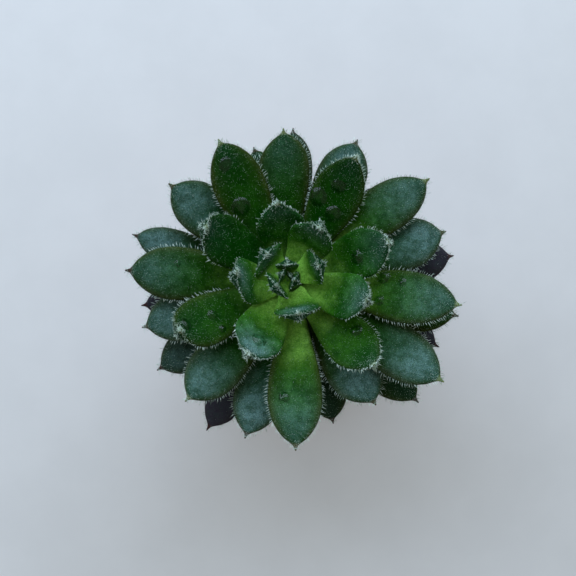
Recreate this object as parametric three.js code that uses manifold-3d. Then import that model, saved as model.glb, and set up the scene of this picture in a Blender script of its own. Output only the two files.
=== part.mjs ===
// A potted scorpio echeveria: a rosette of thick pointed leaves on a short leaning stem, in a clay pot.
// Millimetres, +Z up. The origin is the centre of the pot's underside, on the surface that it stands on.

import * as THREE from 'three';
import { mergeVertices } from 'three/addons/utils/BufferGeometryUtils.js';
import Module from 'manifold-3d';

// Pot
const POT_HEIGHT = 52;
const POT_RIM_RADIUS = 29.5;
const POT_FOOT_RADIUS = 20.5;
const POT_WALL = 3.2;
const POT_FLOOR = 4;
const RIM_BAND_HEIGHT = 12;
const RIM_BAND_STEP = 1.6;
const DRAIN_RADIUS = 3.5;
const EDGE_ROUND = 0.8;
const POT_SIDES = 40;

// Soil
const SOIL_DEPTH_BELOW_RIM = 6;
const SOIL_RELIEF = 0.9;
const SOIL_FOOT_CORNER = 2;
const SOIL_SIDES = 32;
const SOIL_RINGS = 6;
const GRIT_COUNT = 20;
const GRIT_RADIUS = [0.9, 1.9];
const GRIT_FLATNESS = 0.6;
const GRIT_CLEAR_OF_STEM = 5;
const GRIT_CLEAR_OF_POT = 0.5;

// Stem, which leans from its hole in the soil to the heart of the rosette
const STEM_FOOT = [2.6, 2.5];
const HEART_PLACE = [-1.7, 0.5];
const STEM_FOOT_HEIGHT = 34;
const STEM_RADIUS = 5.4;
const STEM_TOP_RADIUS = 2.1;
const STEM_TOP_ABOVE_LEAVES = 0.8;
const STEM_LEAN_POWER = 1.6;
const STEM_TAPER_POWER = 3;
const STEM_RINGS = 10;
const STEM_SIDES = 16;

// Gap that touching pieces keep, and the room beside it that a leaf's root needs where the stem leans
const SEAT_GAP = 0.3;
const LEAN_ROOM = 0.12;

// Rosette. Age 0 is the youngest open leaf, and leaves of negative age are folded in the heart.
const LEAF_COUNT = 42;
const HEART_LEAF_COUNT = 5;
const FIRST_BEARING = 4;
const GOLDEN_ANGLE = 137.5;
const YOUNGEST_ROOT_HEIGHT = 71.5;
const ROOT_STEP = 0.4;
const HEART_ROOT_ABOVE_STEM = 0.6;
const HEART_DOME_SIDES = 10;
const HEART_DOME_RINGS = 6;

// How far each leaf, by age, turns from the golden angle's place, in degrees
const LEAF_TURN = [
  19, 3, 3, 6, -2, 9, -8, -5, -6, -10, 12.5, -15, -7, -2, -6, 4, -5, -3, 5, 3, -5,
  5, -5, 15, 2, -3, 7, -8, -2, 0, 1, 7, 11, -8, 9, 6, 9, -9, 1, 7, 0, -3,
];

// How far the tip of each leaf, by age, reaches from the stem's axis
const LEAF_REACH = [
  8, 8, 10, 14, 13, 20.3, 19, 22.9, 26, 24.6, 31.2, 35, 31.6, 44.5, 41.2, 45.6, 44, 44.7, 48, 40, 44.3,
  42.2, 42.7, 40.6, 41.2, 44, 45, 38, 46, 38, 47, 47.4, 42, 46.6, 43.5, 38, 41.5, 38, 45, 43.5, 30, 50,
];

// Leaves that curve sideways, and leaves wider or narrower than their age gives, by age
const LEAF_BEND = {
  0: -0.5, 1: -1.7, 2: 0.4, 3: -1.2, 4: -3.9, 14: -2.9, 16: -2.7, 19: -3.5, 30: -3.6, 32: -2.2,
};
const LEAF_WIDTH_CHANGE = { 7: 0.7, 16: -1, 23: 1, 30: -2.5, 32: -2 };

// The heart's folded leaves, from the oldest: turn, reach of the tip, and distance of the root
const HEART_TURN = [-8, 3, 20, -18, 0];
const HEART_REACH = [3.6, 3, 1.9, 1.5, 0.8];
const HEART_ROOT = [1.3, 1, 0.7, 0.5, 0.3];

// What changes with age, as pairs of age and value between which it changes evenly
const LEAF_WIDTH = [
  [-5, 3.4], [-2, 6.2], [-1, 9], [0, 9.8], [2, 12], [10, 13.6], [15, 14.6], [30, 13.6], [41, 12],
];
const LEAF_THICKNESS = [
  [-5, 1.6], [-1, 2.6], [0, 3.6], [4, 4], [7, 3.8], [12, 4.4], [25, 4.4], [36, 3.9], [41, 3.3],
];
const ROOT_ELEVATION = [
  [-5, 60], [-3, 45], [-1, 32], [0, 38], [3, 28], [6, 22], [10, 12], [15, 13], [20, 10], [30, 6], [41, 1],
];
const TIP_ELEVATION = [
  [-5, 100], [-1, 118], [0, 112], [4, 98], [5, 82], [9, 74], [12, 54], [13, 28], [20, 22], [30, 16], [41, 12],
];
const TIP_TURN_POWER = [[-5, 1], [-1, 1.2], [0, 2], [3, 2.2], [6, 2.4], [12, 2.4], [13, 1.8], [41, 1.6]];
const KEEL_SHARE = [[-5, 1], [4, 0.95], [12, 0.6], [14, 0.35], [41, 0.3]];
const BOWL_SHARE = [[-5, 0.1], [2, 0.25], [3, 0.8], [4, 0.3], [6, 1], [41, 1]];
const EXTRA_CUP = [[2, 0], [3, 0.03], [4, 0], [6, 0.03], [12, 0.02], [14, 0], [41, 0]];
const YOUNG_OUTLINE_SHARE = [[-5, 1], [6, 1], [13, 0.3], [20, 0], [41, 0]];

// Half-width along a grown leaf and a young one, as pairs of place and share of the widest
const GROWN_OUTLINE = [
  [0, 0.34], [0.1, 0.37], [0.25, 0.53], [0.42, 0.78], [0.57, 0.96], [0.68, 1], [0.78, 0.93], [0.86, 0.73],
  [0.92, 0.44], [0.95, 0.2], [0.965, 0.09], [1, 0.015],
];
const YOUNG_OUTLINE = [
  [0, 0.44], [0.1, 0.56], [0.25, 0.76], [0.42, 0.93], [0.56, 1], [0.66, 0.98], [0.76, 0.8], [0.85, 0.54],
  [0.91, 0.33], [0.945, 0.19], [0.965, 0.1], [1, 0.015],
];

// How a leaf swells above the thickness of its root, as pairs of place and share
const LEAF_SWELL = [
  [0, 0], [0.55, 1], [0.75, 1], [0.88, 0.72], [0.93, 0.45], [0.965, 0.2], [1, 0.03],
];
const ROOT_THICKNESS = 1.5;
const ROOT_THINS_OUT_AT = 0.5;

// Share of a leaf's thickness above its midrib, and the places where its tilt and its cupping are full
const UPPER_SHARE = 0.4;
const FULL_TILT_AT = 0.2;
const FULL_CUP_AT = 0.25;
const SMALLEST_BOWL_RADIUS = 3;

// Every leaf rolls a little to one side, the way that the spiral turns. Some roll otherwise, by age.
const LEAF_ROLL = -3.8;
const LEAF_ROLL_CHANGE = { 7: -8, 9: 16, 12: 12 };

// Leaves whose tip hooks up more, by age in degrees, and where along the leaf the hook begins
const LEAF_HOOK = { 3: 15, 4: 25, 5: 25, 7: 30, 8: 20, 9: 60, 10: 25, 12: 80 };
const HOOK_FROM = 0.72;
const HOOK_POWER = 1.5;

const MIDRIB_STEPS = 60;
const LEAF_STATIONS = [0, 0.1, 0.25, 0.42, 0.57, 0.7, 0.8, 0.88, 0.93, 0.963];
const LEAF_RING_POINTS = 12;

const COLOURS = {
  pot: 0xb5694a,
  soil: 0x3b2c22,
  stem: 0x6f7a45,
  young: 0x5f9a3f,
  middle: 0x3f7a3c,
  old: 0x4b3a48,
};
const GREEN_AT_AGE = 16;
const PURPLE_AGES = [28, 40];
const MERGE_DISTANCE = 1e-4;

// Small helpers

function degrees(angle) {
  return THREE.MathUtils.degToRad(angle);
}

function ramp(pairs, place) {
  const last = pairs.length - 1;
  if (place <= pairs[0][0]) {
    return pairs[0][1];
  }
  for (let i = 0; i < last; i += 1) {
    const [from, low] = pairs[i];
    const [to, high] = pairs[i + 1];
    if (place <= to) {
      return low + ((high - low) * (place - from)) / (to - from);
    }
  }
  return pairs[last][1];
}

function seededRandom(seed) {
  let state = seed;
  return () => {
    state = (state * 16807) % 2147483647;
    return state / 2147483647;
  };
}

function mesh(name, geometry, colour, roughness) {
  geometry.computeVertexNormals();
  const material = new THREE.MeshStandardMaterial({ color: colour, roughness, metalness: 0 });
  const piece = new THREE.Mesh(geometry, material);
  piece.name = name;
  return piece;
}

function indexedGeometry(points, faces) {
  const geometry = new THREE.BufferGeometry();
  geometry.setAttribute('position', new THREE.Float32BufferAttribute(points.flat(), 3));
  geometry.setIndex(faces.flat());
  return geometry;
}

// Solid joining, for the heart's folded leaves and the grit in the soil

const wasm = await Module();
wasm.setup();

function toSolid(geometry) {
  const bare = geometry.clone();
  bare.deleteAttribute('normal');
  bare.deleteAttribute('uv');
  const merged = mergeVertices(bare, MERGE_DISTANCE);
  const vertProperties = new Float32Array(merged.attributes.position.array);
  const triVerts = new Uint32Array(merged.index.array);
  return new wasm.Manifold(new wasm.Mesh({ numProp: 3, vertProperties, triVerts }));
}

function fromSolid(solid) {
  const result = solid.getMesh();
  const geometry = new THREE.BufferGeometry();
  geometry.setAttribute('position', new THREE.Float32BufferAttribute(result.vertProperties, 3));
  geometry.setIndex(new THREE.Uint32BufferAttribute(result.triVerts, 1));
  return geometry;
}

// The stem's axis and radius at a height

const soilHeight = POT_HEIGHT - SOIL_DEPTH_BELOW_RIM;
const stemTopHeight = YOUNGEST_ROOT_HEIGHT + STEM_TOP_ABOVE_LEAVES;
const heartRootHeight = stemTopHeight + SEAT_GAP + HEART_ROOT_ABOVE_STEM;

function shareOfStem(height) {
  return THREE.MathUtils.clamp((height - soilHeight) / (stemTopHeight - soilHeight), 0, 1);
}

function stemCentre(height) {
  const lean = shareOfStem(height) ** STEM_LEAN_POWER;
  return STEM_FOOT.map((foot, i) => foot + (HEART_PLACE[i] - foot) * lean);
}

function stemRadius(height) {
  const taper = shareOfStem(height) ** STEM_TAPER_POWER;
  return STEM_RADIUS - (STEM_RADIUS - STEM_TOP_RADIUS) * taper;
}

// Leaves

function leafBearing(age) {
  const turn = age < 0 ? HEART_TURN[-1 - age] : LEAF_TURN[age];
  return FIRST_BEARING + GOLDEN_ANGLE * age + turn;
}

function leafForm(age) {
  const rootHeight = (age < 0 ? heartRootHeight : YOUNGEST_ROOT_HEIGHT) - ROOT_STEP * age;
  const seatRadius = stemRadius(rootHeight - ROOT_THICKNESS) + SEAT_GAP + LEAN_ROOM;
  return {
    centre: stemCentre(rootHeight),
    bearing: degrees(leafBearing(age)),
    reach: age < 0 ? HEART_REACH[-1 - age] : LEAF_REACH[age],
    rootHeight,
    rootRadius: age < 0 ? HEART_ROOT[-1 - age] : seatRadius,
    halfWidth: (ramp(LEAF_WIDTH, age) + (LEAF_WIDTH_CHANGE[age] ?? 0)) / 2,
    thickness: ramp(LEAF_THICKNESS, age),
    youngShare: ramp(YOUNG_OUTLINE_SHARE, age),
    rootElevation: degrees(ramp(ROOT_ELEVATION, age)),
    tipElevation: degrees(ramp(TIP_ELEVATION, age)),
    turnPower: ramp(TIP_TURN_POWER, age),
    hook: degrees(LEAF_HOOK[age] ?? 0),
    keel: ramp(KEEL_SHARE, age),
    bowlShare: ramp(BOWL_SHARE, age),
    extraCup: ramp(EXTRA_CUP, age),
    bend: LEAF_BEND[age] ?? 0,
    roll: degrees(age < 0 ? 0 : LEAF_ROLL + (LEAF_ROLL_CHANGE[age] ?? 0)),
  };
}

function elevationAt(form, along) {
  const hook = form.hook * Math.max(0, (along - HOOK_FROM) / (1 - HOOK_FROM)) ** HOOK_POWER;
  return form.rootElevation + (form.tipElevation - form.rootElevation) * along ** form.turnPower + hook;
}

// The midrib runs in an upright plane. It is as long as its reach needs.
function midribPoint(form, along) {
  let radius = 0;
  let height = 0;
  let wholeRadius = 0;
  for (let i = 0; i < MIDRIB_STEPS; i += 1) {
    const place = (i + 0.5) / MIDRIB_STEPS;
    const elevation = elevationAt(form, place);
    const part = THREE.MathUtils.clamp(along * MIDRIB_STEPS - i, 0, 1) / MIDRIB_STEPS;
    wholeRadius += Math.cos(elevation) / MIDRIB_STEPS;
    radius += Math.cos(elevation) * part;
    height += Math.sin(elevation) * part;
  }
  const length = (form.reach - form.rootRadius) / wholeRadius;
  return { radius: form.rootRadius + radius * length, height: form.rootHeight + height * length };
}

function outlineAt(form, along) {
  const grown = ramp(GROWN_OUTLINE, along);
  const young = ramp(YOUNG_OUTLINE, along);
  return form.halfWidth * (grown + (young - grown) * form.youngShare);
}

function thicknessAt(form, along) {
  const root = ROOT_THICKNESS * Math.max(1 - along / ROOT_THINS_OUT_AT, 0);
  return root + ramp(LEAF_SWELL, along) * (form.thickness - root / 2);
}

// A point of a leaf, from its distance from the stem's axis, its place beside the midrib and its height
function inRosette(form, outward, sideways, height) {
  const cos = Math.cos(form.bearing);
  const sin = Math.sin(form.bearing);
  return [
    form.centre[0] + outward * cos - sideways * sin,
    form.centre[1] + outward * sin + sideways * cos,
    height,
  ];
}

function leafPoint(form, along, turn) {
  const { radius, height } = midribPoint(form, along);
  const elevation = elevationAt(form, along);
  const tilt = elevation * THREE.MathUtils.smoothstep(along, 0, FULL_TILT_AT);
  const across = outlineAt(form, along) * Math.cos(turn);
  const up = Math.sin(turn);
  const thickness = thicknessAt(form, along);
  const keelDrop = form.keel * (1 - Math.abs(Math.cos(turn))) + (1 - form.keel) * Math.abs(up);
  const surface = up > 0 ? UPPER_SHARE * thickness * up : (UPPER_SHARE - 1) * thickness * keelDrop;
  const rootCurve = 1 - THREE.MathUtils.smoothstep(along, 0, FULL_CUP_AT);
  const bowl = (form.bowlShare * Math.sin(elevation)) / (2 * Math.max(radius, SMALLEST_BOWL_RADIUS));
  const cup = (bowl + form.extraCup * along) * (1 - rootCurve);
  const roll = form.roll * along;
  const lift = surface * Math.cos(roll) + across * Math.sin(roll) + cup * across * across;
  const sideways = across * Math.cos(roll) - surface * Math.sin(roll) + form.bend * along * along;
  const sagitta = form.rootRadius - Math.sqrt(Math.max(form.rootRadius ** 2 - sideways ** 2, 0));
  const outward = radius - lift * Math.sin(tilt) - sagitta * rootCurve;
  return inRosette(form, outward, sideways, height + lift * Math.cos(tilt));
}

function leafGeometry(form) {
  const count = LEAF_RING_POINTS;
  const points = [];
  const faces = [];
  for (const along of LEAF_STATIONS) {
    for (let i = 0; i < count; i += 1) {
      points.push(leafPoint(form, along, (i / count) * Math.PI * 2));
    }
  }
  for (let row = 0; row + 1 < LEAF_STATIONS.length; row += 1) {
    for (let i = 0; i < count; i += 1) {
      const a = row * count + i;
      const b = row * count + ((i + 1) % count);
      const c = a + count;
      const d = b + count;
      const upperFace = i < count / 2;
      faces.push(...(upperFace ? [[a, b, d], [a, d, c]] : [[a, b, c], [b, d, c]]));
    }
  }
  const rootMiddle = points.length;
  const lastRow = (LEAF_STATIONS.length - 1) * count;
  const tip = rootMiddle + 1;
  const end = midribPoint(form, 1);
  points.push(inRosette(form, form.rootRadius, 0, form.rootHeight));
  points.push(inRosette(form, end.radius, form.bend, end.height));
  for (let i = 0; i < count; i += 1) {
    const next = (i + 1) % count;
    faces.push([rootMiddle, next, i]);
    faces.push([tip, lastRow + i, lastRow + next]);
  }
  return indexedGeometry(points, faces);
}

function leafColour(age) {
  const young = new THREE.Color(COLOURS.young);
  const middle = new THREE.Color(COLOURS.middle);
  const old = new THREE.Color(COLOURS.old);
  const greening = THREE.MathUtils.clamp(age / GREEN_AT_AGE, 0, 1);
  const fading = THREE.MathUtils.smoothstep(age, ...PURPLE_AGES);
  return young.lerp(middle, greening).lerp(old, fading);
}

function leaf(age) {
  const name = `leaf_${String(age).padStart(2, '0')}`;
  return mesh(name, leafGeometry(leafForm(age)), leafColour(age), 0.5);
}

// The heart is a small dome with the youngest leaves folded over it.
function heart() {
  const dome = new THREE.SphereGeometry(STEM_TOP_RADIUS, HEART_DOME_SIDES, HEART_DOME_RINGS);
  dome.rotateX(Math.PI / 2);
  dome.translate(...HEART_PLACE, stemTopHeight + SEAT_GAP + STEM_TOP_RADIUS);
  let solid = toSolid(dome);
  for (let i = 1; i <= HEART_LEAF_COUNT; i += 1) {
    solid = solid.add(toSolid(leafGeometry(leafForm(-i))));
  }
  return mesh('heart', fromSolid(solid), leafColour(0), 0.5);
}

// Stem

function stem() {
  const heights = [STEM_FOOT_HEIGHT];
  for (let i = 0; i <= STEM_RINGS; i += 1) {
    const share = Math.sin(((i / STEM_RINGS) * Math.PI) / 2);
    heights.push(soilHeight + (stemTopHeight - soilHeight) * share);
  }
  const points = [];
  const faces = [];
  heights.forEach((height) => {
    const [x, y] = stemCentre(height);
    const radius = stemRadius(height);
    for (let i = 0; i < STEM_SIDES; i += 1) {
      const angle = (i / STEM_SIDES) * Math.PI * 2;
      points.push([x + radius * Math.cos(angle), y + radius * Math.sin(angle), height]);
    }
  });
  for (let row = 0; row + 1 < heights.length; row += 1) {
    for (let i = 0; i < STEM_SIDES; i += 1) {
      const a = row * STEM_SIDES + i;
      const b = row * STEM_SIDES + ((i + 1) % STEM_SIDES);
      faces.push([a, b, b + STEM_SIDES], [a, b + STEM_SIDES, a + STEM_SIDES]);
    }
  }
  const bottom = points.length;
  const topRow = (heights.length - 1) * STEM_SIDES;
  points.push([...STEM_FOOT, STEM_FOOT_HEIGHT]);
  points.push([...stemCentre(stemTopHeight), stemTopHeight]);
  for (let i = 0; i < STEM_SIDES; i += 1) {
    const next = (i + 1) % STEM_SIDES;
    faces.push([bottom, next, i]);
    faces.push([bottom + 1, topRow + i, topRow + next]);
  }
  return mesh('stem', indexedGeometry(points, faces), COLOURS.stem, 0.7);
}

// Pot

const bandBottom = POT_HEIGHT - RIM_BAND_HEIGHT;
const potSlope = (POT_RIM_RADIUS - RIM_BAND_STEP - POT_FOOT_RADIUS) / bandBottom;

function potOuterRadius(height) {
  return POT_FOOT_RADIUS + potSlope * height;
}

function potInnerRadius(height) {
  return potOuterRadius(height) - POT_WALL;
}

function pot() {
  const top = POT_HEIGHT;
  const round = EDGE_ROUND;
  const profile = [
    [DRAIN_RADIUS, POT_FLOOR],
    [DRAIN_RADIUS, 0],
    [POT_FOOT_RADIUS - round, 0],
    [POT_FOOT_RADIUS, round],
    [potOuterRadius(bandBottom), bandBottom],
    [POT_RIM_RADIUS - round * 0.4, bandBottom + round * 0.2],
    [POT_RIM_RADIUS, bandBottom + round],
    [POT_RIM_RADIUS, top - round],
    [POT_RIM_RADIUS - round * 0.3, top - round * 0.3],
    [POT_RIM_RADIUS - round, top],
    [potInnerRadius(top) + round, top],
    [potInnerRadius(top), top - round],
    [potInnerRadius(POT_FLOOR + SOIL_FOOT_CORNER), POT_FLOOR + SOIL_FOOT_CORNER],
    [potInnerRadius(POT_FLOOR) - SOIL_FOOT_CORNER, POT_FLOOR],
    [DRAIN_RADIUS, POT_FLOOR],
  ].map(([radius, height]) => new THREE.Vector2(radius, height));
  const geometry = new THREE.LatheGeometry(profile, POT_SIDES);
  geometry.rotateX(Math.PI / 2);
  geometry.deleteAttribute('normal');
  geometry.deleteAttribute('uv');
  return mesh('pot', mergeVertices(geometry, MERGE_DISTANCE), COLOURS.pot, 0.8);
}

// Soil fills the pot, with a plain hole for the stem and grit on its uneven top.
function soil() {
  const random = seededRandom(7919);
  const floor = POT_FLOOR + SEAT_GAP;
  const holeRadius = STEM_RADIUS + SEAT_GAP;
  const holeFloor = STEM_FOOT_HEIGHT - SEAT_GAP;
  const outerAt = (height) => potInnerRadius(height) - SEAT_GAP * 1.2;
  const points = [];
  const faces = [];
  const addRing = (radius, centre, nextHeight) => {
    for (let i = 0; i < SOIL_SIDES; i += 1) {
      const angle = (i / SOIL_SIDES) * Math.PI * 2;
      const x = centre[0] + radius * Math.cos(angle);
      const y = centre[1] + radius * Math.sin(angle);
      points.push([x, y, nextHeight()]);
    }
  };
  const corner = floor + SOIL_FOOT_CORNER;
  addRing(outerAt(floor) - SOIL_FOOT_CORNER, [0, 0], () => floor);
  addRing(outerAt(corner), [0, 0], () => corner);
  const topOuter = outerAt(soilHeight);
  for (let ring = 0; ring <= SOIL_RINGS; ring += 1) {
    const inward = ring / SOIL_RINGS;
    const centre = STEM_FOOT.map((value) => value * inward);
    const radius = topOuter + (holeRadius - topOuter) * inward;
    const rough = ring === 0 ? 0 : SOIL_RELIEF;
    addRing(radius, centre, () => soilHeight - rough * random());
  }
  addRing(holeRadius, STEM_FOOT, () => holeFloor);
  const rows = points.length / SOIL_SIDES;
  for (let row = 0; row + 1 < rows; row += 1) {
    for (let i = 0; i < SOIL_SIDES; i += 1) {
      const a = row * SOIL_SIDES + i;
      const b = row * SOIL_SIDES + ((i + 1) % SOIL_SIDES);
      faces.push([a, b, b + SOIL_SIDES], [a, b + SOIL_SIDES, a + SOIL_SIDES]);
    }
  }
  const bottom = points.length;
  const lastRow = (rows - 1) * SOIL_SIDES;
  points.push([0, 0, floor], [...STEM_FOOT, holeFloor]);
  for (let i = 0; i < SOIL_SIDES; i += 1) {
    const next = (i + 1) % SOIL_SIDES;
    faces.push([bottom, next, i]);
    faces.push([bottom + 1, lastRow + i, lastRow + next]);
  }
  let solid = toSolid(indexedGeometry(points, faces));
  for (let i = 0; i < GRIT_COUNT; i += 1) {
    const size = GRIT_RADIUS[0] + (GRIT_RADIUS[1] - GRIT_RADIUS[0]) * random();
    const nearest = holeRadius + size + GRIT_CLEAR_OF_STEM;
    const farthest = topOuter - size - GRIT_CLEAR_OF_POT;
    const distance = nearest + (farthest - nearest) * Math.sqrt(random());
    const angle = i * degrees(GOLDEN_ANGLE);
    const stone = new THREE.IcosahedronGeometry(size, 0);
    stone.scale(1, 0.8 + 0.3 * random(), GRIT_FLATNESS);
    stone.rotateZ(random() * Math.PI);
    const x = distance * Math.cos(angle);
    const y = distance * Math.sin(angle);
    stone.translate(x, y, soilHeight - SOIL_RELIEF / 2);
    solid = solid.add(toSolid(stone));
  }
  return mesh('soil', fromSolid(solid), COLOURS.soil, 0.95);
}

const plant = new THREE.Group();
plant.add(pot(), soil(), stem(), heart());
for (let age = 0; age < LEAF_COUNT; age += 1) {
  plant.add(leaf(age));
}

export default plant;
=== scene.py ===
"""Dresses a potted echeveria: soft leaf skin with hairs, clay, soil, stem, light and camera, in metres."""

import math
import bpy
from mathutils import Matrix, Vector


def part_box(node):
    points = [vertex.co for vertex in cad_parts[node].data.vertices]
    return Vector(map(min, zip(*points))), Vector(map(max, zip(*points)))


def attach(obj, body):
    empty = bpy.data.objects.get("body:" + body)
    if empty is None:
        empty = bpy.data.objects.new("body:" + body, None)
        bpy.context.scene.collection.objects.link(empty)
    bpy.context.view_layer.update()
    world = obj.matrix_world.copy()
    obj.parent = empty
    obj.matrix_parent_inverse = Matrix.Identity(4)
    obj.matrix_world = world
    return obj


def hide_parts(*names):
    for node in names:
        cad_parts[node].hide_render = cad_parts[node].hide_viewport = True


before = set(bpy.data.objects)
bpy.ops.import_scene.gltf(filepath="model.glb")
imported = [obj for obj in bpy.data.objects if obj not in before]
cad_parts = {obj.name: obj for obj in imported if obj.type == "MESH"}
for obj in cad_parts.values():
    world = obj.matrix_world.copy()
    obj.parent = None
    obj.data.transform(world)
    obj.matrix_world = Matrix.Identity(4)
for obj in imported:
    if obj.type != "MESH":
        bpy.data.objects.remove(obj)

from types import SimpleNamespace

import bmesh
import bpy
import numpy as np
from mathutils import Euler, Vector, noise

bl_info = {
    "name": "Potted echeveria",
    "version": (1, 0, 0),
    "blender": (4, 5, 0),
    "location": "View3D > Sidebar > Echeveria",
    "description": "Dresses the plain solids of a hairy echeveria in its clay pot",
    "category": "Add Mesh",
}

MM = 0.001
DEGREE = math.radians(1)
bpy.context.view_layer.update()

# The rosette's plan, as in the solids. Age 0 is the youngest open leaf. The heart's folded leaves have the
# ages -5 to -1, and their values end each list.
FIRST_BEARING = 4 * DEGREE
GOLDEN_ANGLE = 137.5 * DEGREE
YOUNGEST_ROOT_HEIGHT = 71.5 * MM
ROOT_STEP = 0.4 * MM
LEAF_TURN = DEGREE * np.array([
    19, 3, 3, 6, -2, 9, -8, -5, -6, -10, 12.5, -15, -7, -2, -6, 4, -5, -3, 5, 3, -5,
    5, -5, 15, 2, -3, 7, -8, -2, 0, 1, 7, 11, -8, 9, 6, 9, -9, 1, 7, 0, -3, 0, -18, 20, 3, -8,
])
LEAF_REACH = MM * np.array([
    8, 8, 10, 14, 13, 20.3, 19, 22.9, 26, 24.6, 31.2, 35, 31.6, 44.5, 41.2, 45.6, 44, 44.7, 48, 40, 44.3,
    42.2, 42.7, 40.6, 41.2, 44, 45, 38, 46, 38, 47, 47.4, 42, 46.6, 43.5, 38, 41.5, 38, 45, 43.5, 30, 50,
    0.8, 1.5, 1.9, 3, 3.6,
])
HEART_ROOT_RADIUS = MM * np.array([0.3, 0.5, 0.7, 1, 1.3])
HEART_COUNT = len(HEART_ROOT_RADIUS)
LEAF_COUNT = len(LEAF_REACH) - HEART_COUNT
LEAF_BEND = {
    0: -0.5, 1: -1.7, 2: 0.4, 3: -1.2, 4: -3.9, 14: -2.9, 16: -2.7, 19: -3.5, 30: -3.6, 32: -2.2,
}
LEAF_WIDTH_CHANGE = {7: 0.7, 16: -1, 23: 1, 30: -2.5, 32: -2}
LEAF_ROLL = -3.8
LEAF_ROLL_CHANGE = {7: -8, 9: 16, 12: 12}
LEAF_HOOK = {3: 15, 4: 25, 5: 25, 7: 30, 8: 20, 9: 60, 10: 25, 12: 80}
HOOK_FROM = 0.72
HOOK_POWER = 1.5

# What changes with age, as a unit and pairs of age and value
LEAF_BY_AGE = {
    "half_width": (MM / 2, [
        [-5, 3.4], [-2, 6.2], [-1, 9], [0, 9.8], [2, 12], [10, 13.6], [15, 14.6], [30, 13.6], [41, 12],
    ]),
    "thickness": (MM, [
        [-5, 1.6], [-1, 2.6], [0, 3.6], [4, 4], [7, 3.8], [12, 4.4], [25, 4.4], [36, 3.9], [41, 3.3],
    ]),
    "root_elevation": (DEGREE, [
        [-5, 60], [-3, 45], [-1, 32], [0, 38], [3, 28], [6, 22], [10, 12],
        [15, 13], [20, 10], [30, 6], [41, 1],
    ]),
    "tip_elevation": (DEGREE, [
        [-5, 100], [-1, 118], [0, 112], [4, 98], [5, 82], [9, 74], [12, 54],
        [13, 28], [20, 22], [30, 16], [41, 12],
    ]),
    "turn_power": (1, [[-5, 1], [-1, 1.2], [0, 2], [3, 2.2], [6, 2.4], [12, 2.4], [13, 1.8], [41, 1.6]]),
    "keel": (1, [[-5, 1], [4, 0.95], [12, 0.6], [14, 0.35], [41, 0.3]]),
    "bowl_share": (1, [[-5, 0.1], [2, 0.25], [3, 0.8], [4, 0.3], [6, 1], [41, 1]]),
    "extra_cup": (1 / MM, [[2, 0], [3, 0.03], [4, 0], [6, 0.03], [12, 0.02], [14, 0], [41, 0]]),
    "young_share": (1, [[-5, 1], [6, 1], [13, 0.3], [20, 0], [41, 0]]),
}

# Half-width along a grown leaf and a young one, and how a leaf swells, as pairs of place and share
GROWN_OUTLINE = [
    [0, 0.34], [0.1, 0.37], [0.25, 0.53], [0.42, 0.78], [0.57, 0.96], [0.68, 1], [0.78, 0.93], [0.86, 0.73],
    [0.92, 0.44], [0.95, 0.2], [0.965, 0.09], [1, 0.015],
]
YOUNG_OUTLINE = [
    [0, 0.44], [0.1, 0.56], [0.25, 0.76], [0.42, 0.93], [0.56, 1], [0.66, 0.98], [0.76, 0.8], [0.85, 0.54],
    [0.91, 0.33], [0.945, 0.19], [0.965, 0.1], [1, 0.015],
]
LEAF_SWELL = [[0, 0], [0.55, 1], [0.75, 1], [0.88, 0.72], [0.93, 0.45], [0.965, 0.2], [1, 0.03]]
ROOT_THICKNESS = 1.5 * MM
ROOT_THINS_OUT_AT = 0.5
UPPER_SHARE = 0.4
FULL_TILT_AT = 0.2
FULL_CUP_AT = 0.25
SMALLEST_BOWL_RADIUS = 3 * MM
MIDRIB_STEPS = 240
SMALL_STEP = 0.004
SMALL_TURN = 0.02

# How fresh a green each leaf is and how much wax bloom and painted sheen it has, from the youngest open leaf
# Each leaf's fresh share also sets how bright the painted glow at its root is and how far it reaches.
LEAF_FRESH_AND_GLOW = [
    1, 1, 1, 0.6, 0.8, 0.65, 0.35, 0.75, 0.45, 0.05, 0.6, 0.15, 0.3, 0.85, 0.2, 0.85, 0.7, 0.5, 0.4, 0.3, 0.4,
    0.3, 0.1, 0.1, 0, 0.1, 0, 0.1, 0.1, 0, 0, 0, 0, 0, 0, 0, 0, 0, 0, 0, 0, 0, 0.8, 0.8, 0.8, 0.8, 0.8,
]
# Leaves that lie in shade, such as 31 and 33, were given less bloom, which paints their shade.
LEAF_BLOOM_AND_SHEEN = [
    0.1, 0.2, 0.5, 0.2, 0.4, 0.35, 0.1, 0.8, 0.2, 0.05, 0, 0, 0, 0.4, 0, 0.3, 0.5, 0.3, 0.7, 0.12, 0.68,
    0.85, 0.6, 0.8, 0.62, 0.75, 0, 0.1, 0.95, 0.3, 0.9, 0.05, 0.3, 0.35, 0.2, 0.3, 0, 0.2, 0, 0.2, 0.2, 0.3,
    0.1, 0.1, 0.1, 0.1, 0.1,
]

# How much of each tint a leaf has at its age
FINISH_BY_AGE = {
    "bronze": [[8, 0], [14, 0.7], [41, 0.8]],
    "purple": [[29, 0], [33, 0.3], [34, 0.9], [36, 0.3], [37, 0.85], [41, 0.95]],
    "red_point": [[14, 0], [15, 0.7], [16, 0], [17, 1], [18, 0], [20, 0.2], [21, 0.7], [30, 1]],
}

# Drops of water: the leaf's age, the place along it, the turn in degrees and the radius in millimetres
WATER_DROPS = [
    (11, 0.54, 50, 2.7), (11, 0.7, 85, 2), (11, 0.48, 104, 2.3), (8, 0.55, 95, 1.9), (14, 0.83, 79, 1.9),
    (14, 0.52, 70, 2.6), (17, 0.67, 110, 1), (13, 0.48, 110, 1.4), (13, 0.48, 49, 1.7), (13, 0.605, 59, 1.1),
    (10, 0.57, 62, 1.7), (12, 0.82, 100, 1.7), (12, 0.57, 94, 1.4), (12, 0.55, 53, 1.1), (7, 0.67, 86, 2.1),
    (15, 0.67, 113, 1.5),
]
DROP_SINKS = 0.3 * MM
WATER_TINT = (0.6, 0.9, 0.65)
WATER_TINT_IN_DUST = (0.7, 0.95, 0.8)

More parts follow.
